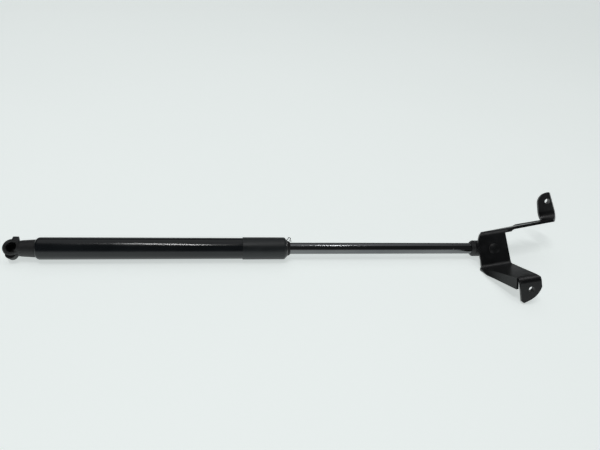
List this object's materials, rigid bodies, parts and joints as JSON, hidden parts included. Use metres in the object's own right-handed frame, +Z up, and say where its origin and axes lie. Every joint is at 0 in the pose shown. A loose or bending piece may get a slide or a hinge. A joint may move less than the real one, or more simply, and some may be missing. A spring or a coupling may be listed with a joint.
{
  "type": "gas strut stay",
  "caption": "Tailgate gas strut, extended: round tube with end sleeve, polished rod, ball sockets with clips, and a stepped bracket with two bolt tabs on its ball stud.",
  "frame": {"origin": "centre of the ball seat in the tube-end socket, on the strut's axis", "axes": "+X along the strut from the tube end to the rod end; +Z up as the strut lies on its side, with its sleeve and the bracket on the plane z = -9.5 mm; -Y the side that the bracket's lower arm comes out on"},
  "size_m": [0.4838, 0.0956, 0.0542],
  "materials": {
    "tube_paint": "smooth gloss black stove enamel",
    "sleeve_plastic": "satin black moulded plastic",
    "fitting_plastic": "matt dark grey glass-filled plastic, faint moulding grain",
    "clip_steel": "blackened spring steel",
    "rod_steel": "ground and polished, faint lengthwise lines",
    "bracket_paint": "semi-gloss black dip paint on pressed steel, worn at the edges",
    "seal_rubber": "matt black rubber",
    "inner_metal": "plain turned steel",
    "guide_aluminium": "turned aluminium",
    "piston_plastic": "dark glass-filled plastic",
    "seat_plastic": "natural acetal",
    "wire_steel": "bright drawn wire"
  },
  "bodies": {
    "barrel": {"pressure_tube": "tube_paint", "end_plug": "inner_metal", "plug_o_ring": "seal_rubber", "tube_end_socket": "fitting_plastic", "tube_end_clip": "clip_steel", "end_sleeve": "sleeve_plastic", "rod_guide": "guide_aluminium", "guide_o_ring": "seal_rubber", "rod_seal": "seal_rubber", "seal_washer": "inner_metal", "retaining_ring": "inner_metal", "rod_wiper": "seal_rubber", "wire_ring": "wire_steel"},
    "slider": {"piston_ring": "piston_plastic"},
    "rod": {"piston_rod": "rod_steel", "piston": "piston_plastic", "support_washer": "inner_metal", "valve_disc": "inner_metal", "piston_nut": "inner_metal", "rod_end_socket": "fitting_plastic", "rod_end_clip": "clip_steel"},
    "seat": {"ball_seat": "seat_plastic"},
    "bracket": {"ball_stud": "bracket_paint", "mounting_bracket": "bracket_paint"}
  },
  "joints": [
    {"name": "rod_slide", "type": "slide", "parent": "barrel", "child": "slider", "axis": [-1, 0, 0], "range_m": [0, 0.152], "stiffness_N_per_m": 100, "springref_m": -0.03},
    {"name": "rod_spin", "type": "hinge", "parent": "slider", "child": "rod", "pos_m": [0.3, 0, 0], "axis": [1, 0, 0], "continuous": true},
    {"name": "ball_tilt", "type": "hinge", "parent": "rod", "child": "seat", "pos_m": [0.4063, 0, 0], "axis": [0, -0.6049, -0.7963], "range_deg": [-30, 0.5]},
    {"name": "ball_turn", "type": "hinge", "parent": "seat", "child": "bracket", "pos_m": [0.4063, 0, 0], "axis": [-0.2365, -0.7737, 0.5878], "range_deg": [-150, 25]}
  ]
}
